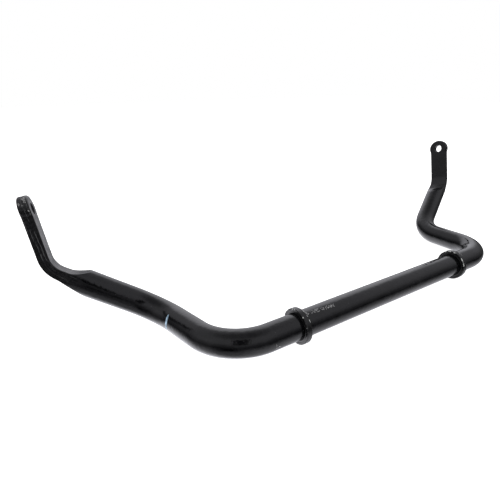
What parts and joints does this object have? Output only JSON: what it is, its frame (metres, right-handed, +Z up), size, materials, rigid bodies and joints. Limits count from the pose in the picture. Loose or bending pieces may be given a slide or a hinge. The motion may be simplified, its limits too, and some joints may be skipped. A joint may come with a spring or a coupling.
{
  "type": "sway bar",
  "caption": "U-shaped tubular anti-roll bar with upswept arms, flat pierced eyes at the ends and stop collars beside its bush seats.",
  "frame": {"origin": "middle of the straight stretch, on the axis that both bush seats share", "axes": "+X along that axis to the right, +Y to the eyes, +Z up as the bar lies on a flat floor on its collars and outer bends"},
  "size_m": [0.8772, 0.2658, 0.1856],
  "materials": {
    "bar_paint": "gloss",
    "collar_paint": "satin",
    "blue_paint_mark": "satin",
    "white_ink_dots": "matte"
  },
  "bodies": {
    "root": {"bar": "bar_paint", "left_stop_collar": "collar_paint", "right_stop_collar": "collar_paint"}
  },
  "joints": []
}
